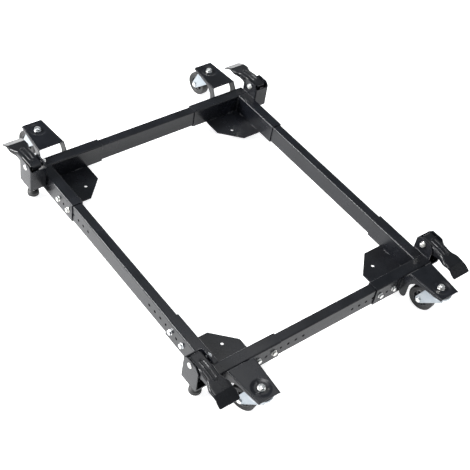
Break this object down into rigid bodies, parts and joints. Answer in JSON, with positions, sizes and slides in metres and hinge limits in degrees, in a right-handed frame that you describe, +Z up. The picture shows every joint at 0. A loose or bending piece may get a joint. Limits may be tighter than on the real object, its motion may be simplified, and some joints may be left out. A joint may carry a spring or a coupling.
{
  "type": "adjustable mobile base",
  "caption": "Adjustable rectangular mobile base: telescoping rails bolted in corner sleeves, swivel casters on raised arms, and foot pedals that lower levelling feet.",
  "frame": {"origin": "on the floor, under the middle of the rectangular frame, with the casters and raised feet as stored", "axes": "+Z up; +Y along the frame's length towards its back; +X along its width to the right"},
  "size_m": [0.853, 1.1737, 0.136],
  "materials": {
    "frame_paint": "satin black powder coat with fine orange peel",
    "rail_paint": "satin black powder coat, slightly rubbed where it slides",
    "pedal_paint": "satin black powder coat worn at the tread edge",
    "zinc_hardware": "bright zinc plate",
    "zinc_fork": "bluish bright zinc plate on pressed sheet",
    "tread": "matte black tread",
    "hub": "dark grey moulded core",
    "foot_rubber": "matte black rubber",
    "spring_wire": "drawn spring wire"
  },
  "bodies": {
    "frame": {"rail_front": "rail_paint", "rail_back": "rail_paint", "rail_left": "rail_paint", "rail_right": "rail_paint", "sleeve_fl": "frame_paint", "sleeve_fr": "frame_paint", "sleeve_bl": "frame_paint", "sleeve_br": "frame_paint", "plate_fl": "frame_paint", "plate_fr": "frame_paint", "plate_bl": "frame_paint", "plate_br": "frame_paint", "arm_fl": "frame_paint", "arm_fr": "frame_paint", "arm_bl": "frame_paint", "arm_br": "frame_paint", "bracket_fl": "frame_paint", "bracket_fr": "frame_paint", "bracket_bl": "frame_paint", "bracket_br": "frame_paint", "rail_bolts": "zinc_hardware", "rail_nuts": "zinc_hardware", "kingpins": "zinc_hardware", "kingpin_washers": "zinc_hardware", "kingpin_nuts": "zinc_hardware", "upper_races": "zinc_hardware", "swivel_balls": "zinc_hardware", "pedal_pins": "zinc_hardware", "spring_fl": "spring_wire", "spring_fr": "spring_wire", "spring_bl": "spring_wire", "spring_br": "spring_wire"},
    "swivel_fl": {"fork_fl": "zinc_fork", "axle_fl": "zinc_hardware"},
    "wheel_fl": {"tyre_fl": "tread", "hub_fl": "hub"},
    "pedal_fl": {"pedal_fl": "pedal_paint"},
    "foot_fl": {"stem_fl": "zinc_hardware", "foot_fl": "foot_rubber"},
    "swivel_fr": {"fork_fr": "zinc_fork", "axle_fr": "zinc_hardware"},
    "wheel_fr": {"tyre_fr": "tread", "hub_fr": "hub"},
    "pedal_fr": {"pedal_fr": "pedal_paint"},
    "foot_fr": {"stem_fr": "zinc_hardware", "foot_fr": "foot_rubber"},
    "swivel_bl": {"fork_bl": "zinc_fork", "axle_bl": "zinc_hardware"},
    "wheel_bl": {"tyre_bl": "tread", "hub_bl": "hub"},
    "pedal_bl": {"pedal_bl": "pedal_paint"},
    "foot_bl": {"stem_bl": "zinc_hardware", "foot_bl": "foot_rubber"},
    "swivel_br": {"fork_br": "zinc_fork", "axle_br": "zinc_hardware"},
    "wheel_br": {"tyre_br": "tread", "hub_br": "hub"},
    "pedal_br": {"pedal_br": "pedal_paint"},
    "foot_br": {"stem_br": "zinc_hardware", "foot_br": "foot_rubber"}
  },
  "joints": [
    {"name": "swivel_fl", "type": "hinge", "parent": "frame", "child": "swivel_fl", "pos_m": [-0.3085, -0.531, 0.1], "axis": [0, 0, 1], "continuous": true},
    {"name": "wheel_spin_fl", "type": "hinge", "parent": "swivel_fl", "child": "wheel_fl", "pos_m": [-0.31953, -0.49255, 0.0375], "axis": [-0.9613, -0.2756, 0], "continuous": true},
    {"name": "swivel_fr", "type": "hinge", "parent": "frame", "child": "swivel_fr", "pos_m": [0.3085, -0.531, 0.1], "axis": [0, 0, 1], "continuous": true},
    {"name": "wheel_spin_fr", "type": "hinge", "parent": "swivel_fr", "child": "wheel_fr", "pos_m": [0.30293, -0.49139, 0.0375], "axis": [-0.9903, -0.1392, 0], "continuous": true},
    {"name": "swivel_bl", "type": "hinge", "parent": "frame", "child": "swivel_bl", "pos_m": [-0.3085, 0.531, 0.1], "axis": [0, 0, 1], "continuous": true},
    {"name": "wheel_spin_bl", "type": "hinge", "parent": "swivel_bl", "child": "wheel_bl", "pos_m": [-0.31407, 0.57061, 0.0375], "axis": [-0.9903, -0.1392, 0], "continuous": true},
    {"name": "swivel_br", "type": "hinge", "parent": "frame", "child": "swivel_br", "pos_m": [0.3085, 0.531, 0.1], "axis": [0, 0, 1], "continuous": true},
    {"name": "wheel_spin_br", "type": "hinge", "parent": "swivel_br", "child": "wheel_br", "pos_m": [0.30641, 0.57095, 0.0375], "axis": [-0.9986, -0.0523, 0], "continuous": true},
    {"name": "pedal_press_fl", "type": "hinge", "parent": "frame", "child": "pedal_fl", "pos_m": [-0.3965, -0.395, 0.122], "axis": [1, 0, 0], "range_deg": [0, 30], "stiffness_Nm_per_rad": 1.2, "springref_deg": -20.05},
    {"name": "foot_drop_fl", "type": "slide", "parent": "frame", "child": "foot_fl", "axis": [0, 0, -1], "range_m": [0, 0.0135], "deforming": ["spring_fl"]},
    {"name": "pedal_press_fr", "type": "hinge", "parent": "frame", "child": "pedal_fr", "pos_m": [0.3965, -0.395, 0.122], "axis": [1, 0, 0], "range_deg": [0, 30], "stiffness_Nm_per_rad": 1.2, "springref_deg": -20.05},
    {"name": "foot_drop_fr", "type": "slide", "parent": "frame", "child": "foot_fr", "axis": [0, 0, -1], "range_m": [0, 0.0135], "deforming": ["spring_fr"]},
    {"name": "pedal_press_bl", "type": "hinge", "parent": "frame", "child": "pedal_bl", "pos_m": [-0.3965, 0.395, 0.122], "axis": [-1, 0, 0], "range_deg": [0, 30], "stiffness_Nm_per_rad": 1.2, "springref_deg": -20.05},
    {"name": "foot_drop_bl", "type": "slide", "parent": "frame", "child": "foot_bl", "axis": [0, 0, -1], "range_m": [0, 0.0135], "deforming": ["spring_bl"]},
    {"name": "pedal_press_br", "type": "hinge", "parent": "frame", "child": "pedal_br", "pos_m": [0.3965, 0.395, 0.122], "axis": [-1, 0, 0], "range_deg": [0, 30], "stiffness_Nm_per_rad": 1.2, "springref_deg": -20.05},
    {"name": "foot_drop_br", "type": "slide", "parent": "frame", "child": "foot_br", "axis": [0, 0, -1], "range_m": [0, 0.0135], "deforming": ["spring_br"]}
  ],
  "couplings": [
    {"joint": "foot_drop_fl", "follows": "pedal_press_fl", "m_per_rad": 0.024295},
    {"joint": "foot_drop_fr", "follows": "pedal_press_fr", "m_per_rad": 0.024295},
    {"joint": "foot_drop_bl", "follows": "pedal_press_bl", "m_per_rad": 0.024295},
    {"joint": "foot_drop_br", "follows": "pedal_press_br", "m_per_rad": 0.024295}
  ]
}
